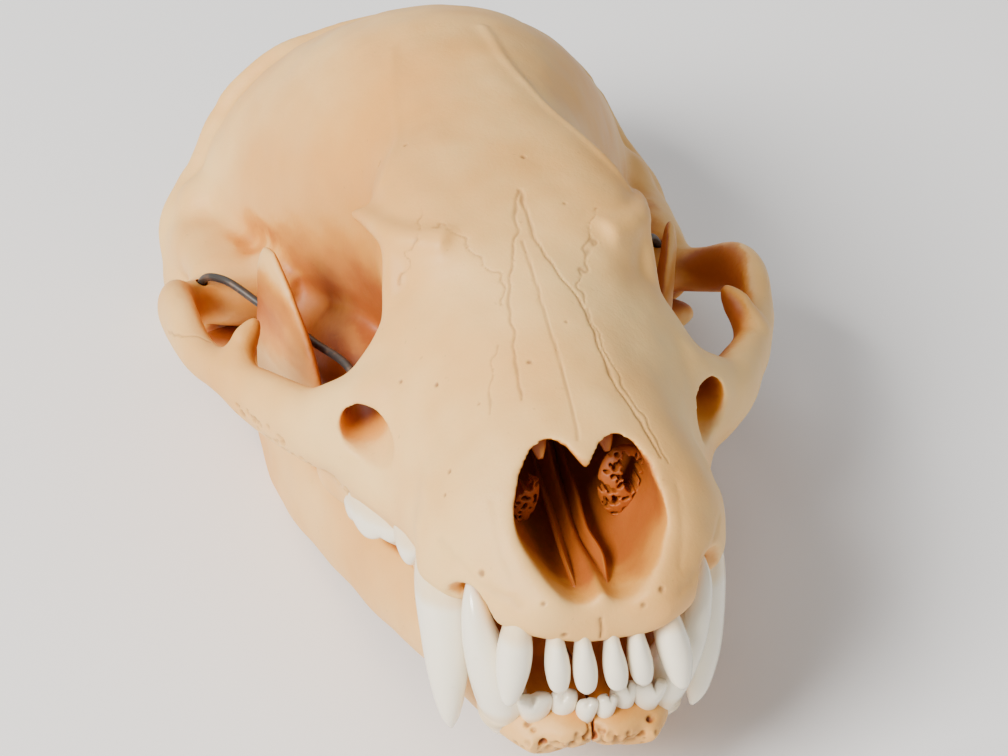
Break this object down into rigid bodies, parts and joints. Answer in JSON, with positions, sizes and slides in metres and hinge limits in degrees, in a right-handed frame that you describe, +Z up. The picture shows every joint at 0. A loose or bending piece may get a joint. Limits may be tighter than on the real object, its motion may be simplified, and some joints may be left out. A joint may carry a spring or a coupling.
{
  "type": "badger skull",
  "caption": "Still life-size model of an American badger skull with both halves of the lower jaw and the two bent wires that hold them on.",
  "frame": {"origin": "centre of the bounding box at the floor, under the middle of the skull", "axes": "+Z up; +Y towards the back of the head, so the teeth face -Y; +X to the skull's own left"},
  "size_m": [0.0814, 0.1286, 0.0559],
  "materials": {
    "bone": "dry cleaned bone, satin, with glossy white enamel on the teeth",
    "jaw_bone": "dry cleaned bone, satin, with glossy white enamel on the teeth",
    "wire": "dull dark annealed wire"
  },
  "bodies": {
    "root": {"cranium": "bone", "mandible_left": "jaw_bone", "mandible_right": "jaw_bone", "jaw_wire_left": "wire", "jaw_wire_right": "wire"}
  },
  "joints": []
}
